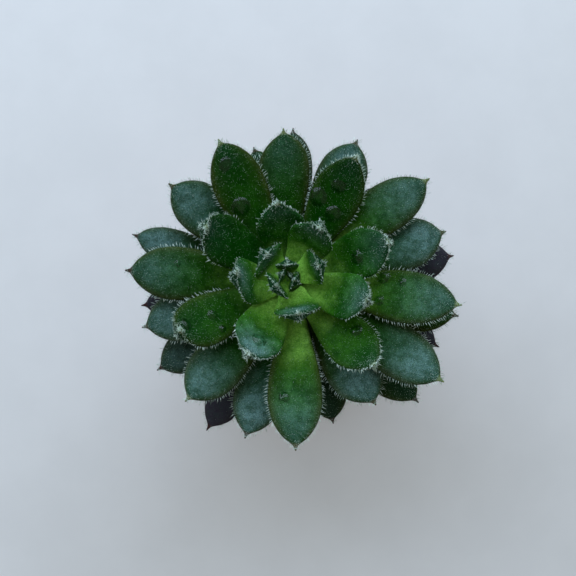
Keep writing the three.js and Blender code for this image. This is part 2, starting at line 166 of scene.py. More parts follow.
# Hairs: where they start and end along a leaf, and the half-width of a leaf whose hairs are full-sized
HAIR_SEED = 5000
FRINGE_END = 0.992
FUZZ_START = 0.2
FUZZ_END = 0.985
TUFT_REACH = 0.1
FULL_HALF_WIDTH = 6 * MM
SKIN_AREA_SHARE = 2.8

# The stem, from its hole in the soil to the heart
STEM_FOOT = MM * np.array([2.6, 2.5])
HEART_PLACE = MM * np.array([-1.7, 0.5])
STEM_RADIUS = 5.4 * MM
STEM_TOP_RADIUS = 2.1 * MM
STEM_LEAN_POWER = 1.6
STEM_TAPER_POWER = 3
STEM_FOOT_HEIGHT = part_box("stem")[0].z
STEM_TOP_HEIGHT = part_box("stem")[1].z
SEAT_GAP = 0.3 * MM
LEAN_ROOM = 0.12 * MM
HEART_ROOT_ABOVE_STEM = 0.6 * MM

# The pot and the soil in it
POT_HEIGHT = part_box("pot")[1].z
RIM_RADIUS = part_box("pot")[1].x
FOOT_RADIUS = 20.5 * MM
POT_WALL = 3.2 * MM
POT_FLOOR = 4 * MM
RIM_BAND_HEIGHT = 12 * MM
RIM_BAND_STEP = 1.6 * MM
DRAIN_RADIUS = 3.5 * MM
SOIL_HEIGHT = POT_HEIGHT - 6 * MM
SOIL_CORNER = 2 * MM
SOIL_CENTRE = 0.5 * MM
SOIL_SEED = 71
RIB_SPACING = 2.6 * MM
RIB_SHARE = 0.25

# Scars on the stem, where leaves have fallen
SCAR_COUNT = 24
SCAR_HALF_WIDTH = 2.4 * MM
SCAR_HALF_HEIGHT = 0.9 * MM

# The studio, in metres
FLOOR_REACH = 3.0
WINDOW_PLACE = (-0.12, 0.62, 0.55)
WINDOW_TARGET = (0, 0, 0.05)
VIEW_TARGET = Vector((-1.63, -1.46, 68)) * MM
VIEW_TILT = 85 * DEGREE
VIEW_DISTANCE = 0.25
NEAREST_SEEN = 0.01


# Shared shapes

def smoothstep(share):
    share = np.clip(share, 0, 1)
    return share * share * (3 - 2 * share)


def age_value(pairs, age):
    ages, values = np.transpose(pairs)
    return float(np.interp(age, ages, values))


def smooth_curve(pairs, place):
    """A curve through pairs of place and value that never swings past them."""
    places, values = np.transpose(np.array(pairs, float))
    slopes = np.diff(values) / np.diff(places)
    turning = slopes[1:] * slopes[:-1]
    total = np.where(turning > 0, slopes[1:] + slopes[:-1], 1)
    inner = np.where(turning > 0, 2 * turning / total, 0)
    grades = np.concatenate([slopes[:1], inner, slopes[-1:]])
    place = np.clip(place, places[0], places[-1])
    i = np.clip(np.searchsorted(places, place, side="right") - 1, 0, len(places) - 2)
    step = places[i + 1] - places[i]
    t = (place - places[i]) / step
    level = values[i] * (1 + 2 * t) * (1 - t) ** 2 + values[i + 1] * t * t * (3 - 2 * t)
    return level + step * t * (1 - t) * (grades[i] * (1 - t) - grades[i + 1] * t)


def unit(vectors):
    return vectors / np.maximum(np.linalg.norm(vectors, axis=-1, keepdims=True), 1e-12)


def share_of_stem(height):
    return np.clip((height - SOIL_HEIGHT) / (STEM_TOP_HEIGHT - SOIL_HEIGHT), 0, 1)


def stem_centre(height):
    lean = np.asarray(share_of_stem(height) ** STEM_LEAN_POWER)
    return STEM_FOOT + (HEART_PLACE - STEM_FOOT) * lean[..., None]


def stem_radius(height):
    return STEM_RADIUS - (STEM_RADIUS - STEM_TOP_RADIUS) * share_of_stem(height) ** STEM_TAPER_POWER


def add_object(name, data):
    thing = bpy.data.objects.new(name, data)
    bpy.context.scene.collection.objects.link(thing)
    return thing


def aim(thing, place, target):
    thing.location = place
    thing.rotation_euler = (Vector(target) - thing.location).to_track_quat("-Z", "Y").to_euler()


def make_piece(name, points, faces, finish, node=None, replaces=False, values=None):
    """A smooth-shaded mesh that rides on the plant's root body, and may replace the solid of a node, which is
    then hidden.
    """
    mesh = bpy.data.meshes.new(name)
    mesh.from_pydata(np.asarray(points).tolist(), [], [list(map(int, face)) for face in faces])
    mesh.polygons.foreach_set("use_smooth", [True] * len(mesh.polygons))
    for key, numbers in (values or {}).items():
        attribute = mesh.attributes.new(key, "FLOAT", "POINT")
        attribute.data.foreach_set("value", np.asarray(numbers, np.float32))
    mesh.materials.append(finish)
    mesh.update()
    piece = add_object(name, mesh)
    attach(piece, "root")
    if replaces:
        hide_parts(node)


def turns_round(sides):
    """The angles of a ring's points."""
    return np.arange(sides) / sides * 2 * math.pi


def revolve_faces(rows, sides):
    """Quads between rows of a ring of points, each row following the last."""
    row, side = np.meshgrid(np.arange(rows - 1), np.arange(sides), indexing="ij")
    a = (row * sides + side).ravel()
    b = (row * sides + (side + 1) % sides).ravel()
    return np.stack([a, b, b + sides, a + sides], axis=1)


def closed_faces(rows, sides):
    """The same quads, closed by fans from the first row and the last to the two points after them."""
    faces = revolve_faces(rows, sides).tolist()
    start, end = rows * sides, rows * sides + 1
    last = (rows - 1) * sides
    for i in range(sides):
        following = (i + 1) % sides
        faces += [[start, following, i], [end, last + i, last + following]]
    return faces


# Leaf shape

def leaf_form(age):
    """The numbers that shape the leaf of an age."""
    in_heart = age < 0
    first_height = STEM_TOP_HEIGHT + SEAT_GAP + HEART_ROOT_ABOVE_STEM if in_heart else YOUNGEST_ROOT_HEIGHT
    root_height = first_height - ROOT_STEP * age
    seat_radius = float(stem_radius(root_height - ROOT_THICKNESS)) + SEAT_GAP + LEAN_ROOM
    form = SimpleNamespace(
        age=age,
        centre=stem_centre(root_height),
        bearing=FIRST_BEARING + GOLDEN_ANGLE * age + LEAF_TURN[age],
        reach=LEAF_REACH[age],
        root_height=root_height,
        root_radius=HEART_ROOT_RADIUS[age] if in_heart else seat_radius,
        hook=LEAF_HOOK.get(age, 0) * DEGREE,
        bend=LEAF_BEND.get(age, 0) * MM,
        roll=0 if in_heart else (LEAF_ROLL + LEAF_ROLL_CHANGE.get(age, 0)) * DEGREE,
        **{key: age_value(pairs, age) * unit for key, (unit, pairs) in LEAF_BY_AGE.items()},
    )
    form.half_width += LEAF_WIDTH_CHANGE.get(age, 0) * MM / 2
    trace_midrib(form)
    return form


def elevation_at(form, along):
    hook = form.hook * np.clip((along - HOOK_FROM) / (1 - HOOK_FROM), 0, 1) ** HOOK_POWER
    return form.root_elevation + (form.tip_elevation - form.root_elevation) * along ** form.turn_power + hook


def half_width_at(form, along):
    grown = smooth_curve(GROWN_OUTLINE, along)
    young = smooth_curve(YOUNG_OUTLINE, along)
    return form.half_width * (grown + (young - grown) * form.young_share)


def trace_midrib(form):
    """The midrib runs in an upright plane. It is as long as its reach needs."""
    middles = (np.arange(MIDRIB_STEPS) + 0.5) / MIDRIB_STEPS
    elevation = elevation_at(form, middles)
    radius = np.concatenate([[0], np.cumsum(np.cos(elevation))]) / MIDRIB_STEPS
    height = np.concatenate([[0], np.cumsum(np.sin(elevation))]) / MIDRIB_STEPS
    form.length = (form.reach - form.root_radius) / radius[-1]
    form.places = np.linspace(0, 1, MIDRIB_STEPS + 1)
    form.radii = form.root_radius + radius * form.length
    form.heights = form.root_height + height * form.length


def in_rosette(form, outward, sideways, height):
    cos, sin = math.cos(form.bearing), math.sin(form.bearing)
    x = form.centre[0] + outward * cos - sideways * sin
    y = form.centre[1] + outward * sin + sideways * cos
    return np.stack(np.broadcast_arrays(x, y, height), axis=-1)


def leaf_surface(form, along, turn):
    """Points of the skin at places along a leaf and turns about it, a quarter turn being the upper face."""
    along, turn = np.broadcast_arrays(along, turn)
    radius = np.interp(along, form.places, form.radii)
    height = np.interp(along, form.places, form.heights)
    elevation = elevation_at(form, along)
    tilt = elevation * smoothstep(along / FULL_TILT_AT)
    across = half_width_at(form, along) * np.cos(turn)
    up = np.sin(turn)
    root = ROOT_THICKNESS * np.clip(1 - along / ROOT_THINS_OUT_AT, 0, None)
    thickness = root + smooth_curve(LEAF_SWELL, along) * (form.thickness - root / 2)
    keel_drop = form.keel * (1 - np.abs(np.cos(turn))) + (1 - form.keel) * np.abs(up)
    surface = thickness * np.where(up > 0, UPPER_SHARE * up, (UPPER_SHARE - 1) * keel_drop)
    root_curve = 1 - smoothstep(along / FULL_CUP_AT)
    bowl = form.bowl_share * np.sin(elevation) / (2 * np.maximum(radius, SMALLEST_BOWL_RADIUS))
    cup = (bowl + form.extra_cup * along) * (1 - root_curve)
    roll = form.roll * along
    lift = surface * np.cos(roll) + across * np.sin(roll) + cup * across ** 2
    sideways = across * np.cos(roll) - surface * np.sin(roll) + form.bend * along ** 2
    sagitta = form.root_radius - np.sqrt(np.maximum(form.root_radius ** 2 - sideways ** 2, 0))
    outward = radius - lift * np.sin(tilt) - sagitta * root_curve
    return in_rosette(form, outward, sideways, height + lift * np.cos(tilt))


def leaf_directions(form, along, turn):
    """The point, the way out of the skin and the way to the tip, at each place."""
    here = leaf_surface(form, along, turn)
    ahead = leaf_surface(form, np.minimum(along + SMALL_STEP, 1), turn)
    behind = leaf_surface(form, np.maximum(along - SMALL_STEP, 0), turn)
    round_it = leaf_surface(form, along, turn + SMALL_TURN) - leaf_surface(form, along, turn - SMALL_TURN)
    forward = unit(ahead - behind)
    outward = unit(np.cross(round_it, forward))
    return here, outward, forward


def leaf_skin(form, rows, sides, tip_crowding):
    """Points and faces of a leaf's skin, with what its finish reads at each point."""
    along = 1 - (1 - np.linspace(0, 1, rows + 1)[:-1]) ** tip_crowding
    turn = turns_round(sides)
    grid = leaf_surface(form, along[:, None], turn[None, :])
    root = in_rosette(form, form.root_radius, 0, form.root_height)
    tip = in_rosette(form, form.radii[-1], form.bend, form.heights[-1])
    points = np.concatenate([grid.reshape(-1, 3), [root, tip]])
    values = {
        "along": [*np.repeat(along, sides), 0, 1],
        "margin": [*np.tile(np.abs(np.cos(turn)), rows), 0, 1],
        "upper": [*np.tile(np.sin(turn) * 0.5 + 0.5, rows), 0.5, 0.5],
        "fresh": np.full(len(points), LEAF_FRESH_AND_GLOW[form.age]),
        "bloom": np.full(len(points), LEAF_BLOOM_AND_SHEEN[form.age]),
    }
    for key, pairs in FINISH_BY_AGE.items():
        values[key] = np.full(len(points), age_value(pairs, form.age))
    return points, closed_faces(rows, sides), values


# Finishes

class Finish:
    """A material's node tree, with short ways to add what the finishes share."""

    def __init__(self, name, body):
        self.body = body
        self.material = bpy.data.materials.new(name)
        self.material.use_nodes = True
        self.tree = self.material.node_tree
        self.shader = self.tree.nodes["Principled BSDF"]

    def put(self, value, socket):
        """Joins a socket to another, or sets its value."""
        if isinstance(value, bpy.types.NodeSocket):
            self.tree.links.new(value, socket)
        elif hasattr(value, "__len__"):
            socket.default_value = (*value, 1)[: len(socket.default_value)]
        else:
            socket.default_value = value

    def add(self, kind, output, sockets, **how):
        """Adds a node that works as asked, feeds its sockets by name or number, and gives one output."""
        node = self.tree.nodes.new("ShaderNode" + kind)
        for key, value in how.items():
            setattr(node, key, value)
        for socket, value in sockets.items():
            self.put(value, node.inputs[socket])
        return node.outputs[output]

    def attribute(self, name):
        return self.add("Attribute", "Fac", {}, attribute_name=name)

    def texture(self, kind, output, grain, **sockets):
        place = self.add("TexCoord", "Object", {})
        return self.add(kind, output, {"Vector": place, "Scale": 1 / grain, **sockets})

    def noise(self, grain, detail=2.0, roughness=0.5):
        """Cloudy shares whose spots are about a grain wide, in metres."""
        return self.texture("TexNoise", "Fac", grain, Detail=detail, Roughness=roughness)

    def cells(self, grain):
        """The distance to the nearest of many scattered points a grain apart, as a share of the grain."""
        return self.texture("TexVoronoi", "Distance", grain)

    def math(self, how, first, second):
        return self.add("Math", 0, {0: first, 1: second}, operation=how)

    def times(self, product, *others):
        for other in others:
            product = self.math("MULTIPLY", product, other)
        return product

    def share(self, value, low, high, least=0.0, most=1.0):
        """Runs smoothly from the least to the most as a value goes from low to high."""
        sockets = dict(enumerate((value, low, high, least, most)))
        return self.add("MapRange", 0, sockets, interpolation_type="SMOOTHSTEP")

    def mix(self, share, first, second, blend="MIX"):
        return self.add("Mix", 2, {0: share, 6: first, 7: second}, data_type="RGBA", blend_type=blend)

    def coat(self, colour, amount, *limits, blend="MIX"):
        """Lays a colour over the body by an amount, or by its share between limits."""
        if limits:
            amount = self.share(amount, *limits)
        self.body = self.mix(amount, self.body, colour, blend)

    def bump(self, height, depth, **under):
        return self.add("Bump", "Normal", {"Strength": 1, "Distance": depth, "Height": height, **under})

    def wear(self, **sockets):
        """Gives the body and the rest to the shader."""
        for name, value in {"Base_Color": self.body, **sockets}.items():
            self.put(value, self.shader.inputs[name.replace("_", " ")])
        return self.material


def leaf_finish(colours):
    """Waxy skin: fresh green at the root with a painted glow of light shining through it, deep green, a blue
    bloom towards the tip that is partly a painted sheen, and bronze margins.
    """
    finish = Finish("leaf_skin", colours.deep_green)
    along, margin, upper, fresh, bloom, bronze, purple, red_point = map(finish.attribute, (
        "along", "margin", "upper", "fresh", "bloom", "bronze", "purple", "red_point"))
    patches = finish.noise(4.5 * MM, 3)
    spots = finish.noise(1.9 * MM, 2, 0.6)
    mottle = finish.noise(0.7 * MM, 3, 0.65)
    grain = finish.noise(0.32 * MM, 2, 0.7)
    specks = finish.cells(0.55 * MM)
    reach = finish.math("ADD", along, finish.share(patches, 0.25, 0.75, -0.08, 0.08))

    # Greens from the root to the tip. A young leaf's root is painted glowing, as if light shone through its
    # thin base.
    finish.coat(colours.fresh_green, finish.times(fresh, finish.share(patches, 0.36, 0.64, 0.2, 0.95)))
    root = finish.mix(fresh, colours.deep_green, colours.root_green_and_glow)
    glow_ends = finish.math("ADD", finish.times(fresh, 0.32), 0.3)
    finish.body = finish.mix(finish.share(reach, 0.1, glow_ends), root, finish.body)
    finish.coat(colours.tip_green, reach, 0.6, 1.0, 0, 0.9)

    # Margins and underside
    olive = finish.times(finish.share(margin, 0.2, 0.9, 0.15, 0.8), finish.share(reach, 0.15, 0.45), bronze)
    edge = finish.share(finish.math("ADD", margin, finish.times(patches, 0.3)), 0.85, 1.15)
    finish.coat(colours.olive, olive)
    finish.coat(colours.bronze, finish.times(edge, bronze))
    finish.coat(colours.underside, upper, 0.42, 0.2, 0, 0.7)

    # Darker specks, from coarse to fine
    finish.coat(colours.shadow_green, spots, 0.6, 0.36, 0, 0.4, blend="MULTIPLY")
    finish.coat(colours.shadow_green, mottle, 0.4, 0.62, 0, 0.55, blend="MULTIPLY")
    finish.coat(colours.shadow_green, grain, 0.42, 0.62, 0, 0.8, blend="MULTIPLY")

    # Wax, which is patchy, and the paler spots where hairs root. The wax is partly a painted sheen of the
    # blue window light, strongest mid-face and weaker towards the margins and the very tip, which paints the
    # leaf's rounding.
    dusty = finish.times(finish.share(grain, 0.6, 0.42, 0.55, 1.15), finish.share(spots, 0.35, 0.6, 0.55, 1))
    wax_and_sheen = finish.times(
        finish.share(reach, 0.45, 0.9), dusty, finish.share(margin, 1.0, 0.35, 0.25, 1.1),
        finish.share(along, 0.98, 0.82, 0.35, 1), finish.share(upper, 0.2, 0.5, 0.12, 0.6), bloom)
    finish.coat(colours.bloom, wax_and_sheen)
    finish.coat(colours.speck, specks, 0.3, 0.12, 0, 0.26)

    # Old skin and the hard point
    finish.coat(colours.purple, finish.times(purple, finish.share(mottle, 0.2, 0.8, 0.95, 0.6)))
    point = finish.mix(red_point, colours.green_point, colours.red_point)
    finish.coat(point, along, 0.945, 0.97, 0, 0.85)

    skin = finish.bump(finish.cells(0.4 * MM), 0.02 * MM)
    skin = finish.bump(finish.noise(2.5 * MM, 1), 0.25 * MM, Normal=skin)
    skin = finish.bump(finish.noise(6 * MM, 0), 0.5 * MM, Normal=skin)
    rough = finish.share(mottle, 0.3, 0.7, 0.34, 0.5)
    return finish.wear(Roughness=rough, Specular_IOR_Level=0.03, Normal=skin)


def hair_finish(colours):
    """Pale glassy hairs, some of them greyer."""
    finish = Finish("hair", colours.hair)
    finish.coat(colours.hair_shade, finish.noise(1.5 * MM), 0.42, 0.66)
    return finish.wear(Roughness=0.4)


def stem_finish(colours):
    """Green-brown bark that turns corky near the soil."""
    finish = Finish("stem_bark", colours.stem_brown)
    height = finish.attribute("height")
    cork = finish.noise(1.2 * MM, 4, 0.65)
    finish.coat(colours.stem_green, height, 0.2, 0.9)
    finish.coat(colours.cork, finish.times(finish.share(cork, 0.4, 0.65), finish.share(height, 0.95, 0.6)))
    return finish.wear(Roughness=0.8, Normal=finish.bump(cork, 0.3 * MM))


def clay_finish(colours):
    """Fired clay with darker flecks, a pale bloom of lime and a fine open grain."""
    finish = Finish("terracotta", colours.clay)
    height = finish.attribute("height")
    cloud = finish.noise(14 * MM, 4, 0.6)
    grain = finish.noise(0.5 * MM, 3, 0.7)
    finish.coat(colours.clay_light, cloud, 0.35, 0.65)
    finish.coat(colours.clay_fleck, finish.cells(1.6 * MM), 0.16, 0.05, 0, 0.45)
    foot_lime = finish.share(finish.noise(6 * MM, 5, 0.7), 0.5, 0.72, 0, 0.7)
    foot_lime = finish.times(foot_lime, finish.share(height, 0.5, 0.02))
    lime = finish.share(finish.noise(3 * MM, 5, 0.7), 0.55, 0.75, 0, 0.35)
    finish.coat(colours.lime, finish.math("MAXIMUM", foot_lime, lime))
    rough = finish.share(cloud, 0.3, 0.7, 0.8, 0.92)
    return finish.wear(Roughness=rough, Normal=finish.bump(grain, 0.12 * MM))


def soil_finish(colours):
    """Damp peat, from near black to brown."""
    finish = Finish("peat", colours.peat)
    crumbs = finish.noise(1.4 * MM, 5, 0.7)
    finish.coat(colours.peat_light, crumbs, 0.35, 0.65)
    return finish.wear(Roughness=0.95, Normal=finish.bump(crumbs, 0.8 * MM))


def grit_finish(colours):
    """Pumice, from grey to cream, full of small holes."""
    finish = Finish("pumice", colours.pumice)
    holes = finish.cells(0.35 * MM)
    finish.coat(colours.pumice_dark, finish.noise(4 * MM, 2), 0.35, 0.65)
    finish.coat(colours.pumice_dark, holes, 0.3, 0.1, 0, 0.5)
    return finish.wear(Roughness=0.9, Normal=finish.bump(holes, 0.15 * MM))


def water_finish():
    """Water with a trace of dust on it."""
    finish = Finish("water", WATER_TINT)
    dust = finish.noise(0.8 * MM)
    finish.coat(WATER_TINT_IN_DUST, dust)
    rough = finish.share(dust, 0.3, 0.7, 0.12, 0.18)
    return finish.wear(Roughness=rough, Transmission_Weight=1.0, IOR=1.33, Specular_IOR_Level=0.12)


def floor_finish(studio):
    """Pale painted board with a faint cloudiness."""
    finish = Finish("floor", studio.floor)
    finish.coat(studio.floor_shade, finish.noise(30 * MM, 4, 0.6), 0.3, 0.7)
    return finish.wear(Roughness=0.65)


# Hairs

def hair_strands(bases, directions, lengths, radius, bow=None):
    """Closed hairs of three sides: straight and pointed with no bow, or else bent at half their length."""
    count = len(bases)
    directions = unit(directions)
    helper = np.where(np.abs(directions[:, 2:]) < 0.9, [[0.0, 0.0, 1.0]], [[1.0, 0.0, 0.0]])
    first = unit(np.cross(directions, helper))
    second = np.cross(directions, first)
    angles = turns_round(3)
    ring = first[:, None] * np.cos(angles)[None, :, None] + second[:, None] * np.sin(angles)[None, :, None]
    lengths = np.broadcast_to(lengths, count)[:, None]
    root = bases[:, None] + ring * radius
    if bow is None:
        tip = bases + directions * lengths
        points = np.concatenate([root, tip[:, None]], axis=1)
        faces = [[2, 1, 0], [0, 1, 3], [1, 2, 3], [2, 0, 3]]
    else:
        middle = (bases + (directions * 0.5 + bow * 0.12) * lengths)[:, None] + ring * radius * 0.85
        tip = bases + (directions + bow * 0.45) * lengths
        points = np.concatenate([root, middle, tip[:, None]], axis=1)
        faces = [
            [2, 1, 0], [0, 1, 4], [0, 4, 3], [1, 2, 5], [1, 5, 4], [2, 0, 3], [2, 3, 5],
            [3, 4, 6], [4, 5, 6], [5, 3, 6],
        ]
    per_hair = points.shape[1]
    steps = np.arange(count)[:, None, None] * per_hair
    return points.reshape(-1, 3), (np.array(faces)[None] + steps).reshape(-1, 3)


def join_meshes(parts):
    """One list of points and one of faces from several."""
    points, faces, start = [], [], 0
    for some_points, some_faces in parts:
        points.append(some_points)
        faces += [[corner + start for corner in face] for face in some_faces]
        start += len(some_points)
    return np.concatenate(points), faces


def places_along(form, turn, start, spacing, random):
    """Places along a line on the skin, about a spacing apart from the start to the tip."""
    along = np.linspace(start, FRINGE_END, 300)
    line = leaf_surface(form, along, turn)
    run = np.concatenate([[0], np.cumsum(np.linalg.norm(np.diff(line, axis=0), axis=1))])
    marks = np.arange(0, run[-1], spacing)
    marks = marks + random.uniform(-0.35, 0.35, len(marks)) * spacing
    return np.interp(marks, run, along)


def fringe(form, random, spacing, radius, turn, start, length, spread):
    """A comb of bent hairs along a margin or the keel, which tangle more where they spread more."""
    along = places_along(form, turn, start, spacing, random)
    turns = turn + random.normal(0, spread, len(along))
    bases, outward, forward = leaf_directions(form, along, turns)
    lean = random.normal(0.25, spread * 1.5, (len(along), 1))
    directions = outward + forward * lean + random.normal(0, spread * 2, bases.shape)
    lengths = length * random.uniform(0.55, 1.25, len(along))
    lengths *= 0.4 + 0.6 * smoothstep((along - start) / 0.12)
    bow = forward * 0.3 + random.normal(0, spread * 2.5, bases.shape)
    return hair_strands(bases - outward * radius, directions, lengths, radius, bow)


def fuzz(form, count, hairs, random):
    """Short straight hairs all over the skin, thicker towards the tip."""
    along = FUZZ_START + (1 - FUZZ_START) * random.uniform(0, 1, count) ** hairs.fuzz_toward_tip
    along = np.minimum(along, FUZZ_END)
    turns = np.arccos(random.uniform(-1, 1, count)) * random.choice([1, -1], count)
    bases, outward, forward = leaf_directions(form, along, turns)
    directions = outward + forward * 0.35 + random.normal(0, 0.25, bases.shape)
    lengths = hairs.fuzz_length * random.uniform(0.5, 1.2, count)
    dry = np.ones(count, bool)
    for age, place, turn, radius in WATER_DROPS:
        if age == form.age:
            middle = leaf_surface(form, place, turn * DEGREE)
            dry &= np.linalg.norm(bases - middle, axis=1) > radius * MM
    roots = bases - outward * hairs.fuzz_radius
    return hair_strands(roots[dry], directions[dry], lengths[dry], hairs.fuzz_radius)


def tip_tuft(form, count, random, length, radius):
    """A tangle of hairs round the tip, where the margins and the keel meet."""
    along = 1 - TUFT_REACH * random.uniform(0.1, 1, count) ** 1.4
    turns = random.uniform(-math.pi, math.pi, count)
    bases, outward, forward = leaf_directions(form, along, turns)
    directions = outward + forward * 0.4 + random.normal(0, 0.45, bases.shape)
    lengths = length * random.uniform(0.5, 1.1, count)
    bow = random.normal(0, 0.5, bases.shape)
    return hair_strands(bases - outward * radius, directions, lengths, radius, bow)


def leaf_hairs(form, hairs):
    """All the hairs of a leaf. Young ones have a hairy keel, dense short fringes, and a tuft at the tip."""
    random = np.random.default_rng(HAIR_SEED + form.age)
    young = float(np.clip(1 - form.age / hairs.young_until_age, 0, 1))
    youth = min(young * 2, 1)
    size = min(form.half_width / FULL_HALF_WIDTH, 1)
    radius = hairs.radius * (0.5 + 0.5 * size)
    length = hairs.fringe_length * (1 - 0.15 * youth) * (0.55 + 0.45 * size)
    spacing = hairs.fringe_spacing * (0.6 + 0.4 * size)
    margins, keel = (0, math.pi), -math.pi / 2
    lines = [(turn, 0.3 + 0.32 * youth, length, 0.08 + 0.06 * youth) for turn in margins]
    if young > 0:
        lines += [(turn, 0.86 - 0.1 * youth, length * 0.75, 0.14) for turn in (*margins, keel) * 2]
        lines.append((keel, 0.88 - 0.4 * young, length, 0.12))
    parts = [fringe(form, random, spacing, radius, *line) for line in lines]
    if young > 0:
        parts.append(tip_tuft(form, int(hairs.tuft_count * (0.4 + 0.6 * size)), random, length, radius))
    area = (form.length * form.half_width * SKIN_AREA_SHARE) / MM ** 2
    smooth = age_value(FINISH_BY_AGE["purple"], form.age)
    parts.append(fuzz(form, int(area * hairs.fuzz_density * size ** 2 * (1 - smooth)), hairs, random))
    return join_meshes(parts)


# Settings that the sidebar shows

def colour_setting(name, description, colour):
    return bpy.props.FloatVectorProperty(
        name=name, description=description, subtype="COLOR", size=3, min=0, max=1, default=colour)


def number_setting(name, description, number, least=0, **kind):
    return bpy.props.FloatProperty(name=name, description=description, min=least, default=number, **kind)


def length_setting(name, description, length):
    return number_setting(name, description, length, subtype="DISTANCE", unit="LENGTH")


def count_setting(name, description, count, least=0):
    return bpy.props.IntProperty(name=name, description=description, min=least, default=count)


class LeafColours(bpy.types.PropertyGroup):
    """Colours of the leaves, heart and stem."""

    # Root green: a young leaf's own pale green, brightened by a painted glow of light shining through its
    # thin base
    root_green_and_glow: colour_setting("Root green", "Young leaf near the stem", (0.43, 0.86, 0.14))
    deep_green: colour_setting("Deep green", "Leaf at mid-length", (0.001, 0.05, 0.001))
    fresh_green: colour_setting("Fresh green", "Light patches of a leaf", (0.052, 0.2, 0.009))
    tip_green: colour_setting("Tip green", "Leaf near the tip", (0.007, 0.05, 0.018))
    shadow_green: colour_setting("Mottle", "Tint of the darker specks", (0.45, 0.6, 0.42))
    speck: colour_setting("Speck", "Spots where hairs root", (0.16, 0.32, 0.15))
    bronze: colour_setting("Bronze", "Margins of grown leaves", (0.056, 0.066, 0.016))
    olive: colour_setting("Olive", "Grown leaf beside its margins", (0.028, 0.062, 0.006))
    underside: colour_setting("Underside", "Underside of the leaves", (0.012, 0.05, 0.022))
    purple: colour_setting("Purple", "Skin of the oldest leaves", (0.042, 0.026, 0.052))
    # Bloom: the wax's own blue, and also a painted sheen of the window light
    bloom: colour_setting("Bloom", "Wax on the skin", (0.215, 0.395, 0.405))
    green_point: colour_setting("Green point", "Hard point at a fresh leaf's tip", (0.16, 0.2, 0.06))
    red_point: colour_setting("Red point", "Hard point at an old leaf's tip", (0.06, 0.025, 0.022))
    hair: colour_setting("Hair", "Hairs, where they are palest", (0.8, 0.98, 0.88))
    hair_shade: colour_setting("Hair shade", "Hairs, where they are dullest", (0.22, 0.34, 0.22))
    stem_green: colour_setting("Stem green", "Young stem", (0.06, 0.19, 0.02))
    stem_brown: colour_setting("Stem brown", "Old stem", (0.14, 0.09, 0.05))
    cork: colour_setting("Cork", "Cracks of the stem", (0.2, 0.15, 0.1))


class LeafHairs(bpy.types.PropertyGroup):
    """Sizes and spacing of the hairs."""

    fringe_length: length_setting("Fringe length", "Length of the hairs on the margins", 1.3 * MM)
    fringe_spacing: length_setting("Fringe spacing", "Gap between the hairs on the margins", 0.6 * MM)
    radius: length_setting("Fringe radius", "Radius of a margin hair at its root", 0.08 * MM)
    fuzz_length: length_setting("Fuzz length", "Length of the hairs on the faces", 0.3 * MM)
    fuzz_radius: length_setting("Fuzz radius", "Radius of a face hair at its root", 0.052 * MM)
    fuzz_density: number_setting("Fuzz density", "Hairs on each square millimetre of skin", 1.5)
    fuzz_toward_tip: number_setting("Fuzz towards tip", "Below 1, more hairs stand near the tip", 0.45, 0.1)
    tuft_count: count_setting("Tuft", "Hairs in the tuft of a young leaf", 34)
    young_until_age: count_setting("Young until", "Age of the first leaf without a tuft", 13, 1)


class LeafMesh(bpy.types.PropertyGroup):
    """How finely the skin is divided."""

    rows: count_setting("Rows", "Rows of faces along a leaf", 52, 8)
    sides: count_setting("Sides", "Faces round a leaf", 40, 8)
    tip_crowding: number_setting("Tip crowding", "Above 1, the rows lie closer near the tip", 1.45, 1)


class ClayPot(bpy.types.PropertyGroup):
    """The pot's clay."""

    clay: colour_setting("Clay", "Fired clay", (0.36, 0.145, 0.07))
    clay_light: colour_setting("Light clay", "Fired clay where it is palest", (0.45, 0.2, 0.105))
    clay_fleck: colour_setting("Fleck", "Dark flecks", (0.16, 0.06, 0.035))
    lime: colour_setting("Lime", "Pale bloom", (0.6, 0.47, 0.37))
    wobble: length_setting("Wobble", "How far the wall strays from round", 0.12 * MM)
    sides: count_setting("Sides", "Faces round the pot", 144, 24)


class PottingSoil(bpy.types.PropertyGroup):
    """The soil and what lies on it."""

    peat: colour_setting("Peat", "Damp peat", (0.022, 0.014, 0.009))
    peat_light: colour_setting("Light peat", "Dry crumbs", (0.07, 0.042, 0.024))
    pumice: colour_setting("Pumice", "Pale grit", (0.5, 0.47, 0.41))
    pumice_dark: colour_setting("Dark pumice", "Grit in its holes", (0.2, 0.18, 0.15))
    relief: length_setting("Relief", "Height of the soil's bumps", 0.9 * MM)
    crumbs: count_setting("Crumbs", "Loose crumbs of peat", 900)
    grit: count_setting("Grit", "Bits of pumice", 110)


class Studio(bpy.types.PropertyGroup):
    """Floor, light and camera."""

    floor: colour_setting("Floor", "Pale floor", (0.73, 0.73, 0.73))
    floor_shade: colour_setting("Floor shade", "The floor's darker clouds", (0.7, 0.7, 0.7))
    sky: colour_setting("Sky", "Light from all round", (1.0, 1.0, 0.9))
    sky_strength: number_setting("Sky strength", "Strength of that light", 0.34)
    window: colour_setting("Window", "Colour of the soft light", (0.66, 0.8, 1.0))
    window_power: number_setting("Window power", "Power of the soft light", 14, subtype="POWER", unit="POWER")
    window_width: length_setting("Window width", "Width of the soft light", 2.0)
    window_height: length_setting("Window height", "Height of the soft light", 0.8)
    lens: number_setting("Lens", "Focal length in millimetres", 57.5, 10)


# Pot, soil and stem shapes

def rounded(profile, radius, steps=4):
    """A profile whose corners are rounded off, at most half way along each side."""
    profile = [np.array(point, float) for point in profile]
    result = [profile[0]]
    for before, corner, after in zip(profile, profile[1:], profile[2:]):
        into, out = before - corner, after - corner
        reach_in = min(radius, np.linalg.norm(into) / 2) * into / np.linalg.norm(into)
        reach_out = min(radius, np.linalg.norm(out) / 2) * out / np.linalg.norm(out)
        for t in np.linspace(0, 1, steps + 1):
            result.append(corner + reach_in * (1 - t) ** 2 + reach_out * t ** 2)
    return result + [profile[-1]]


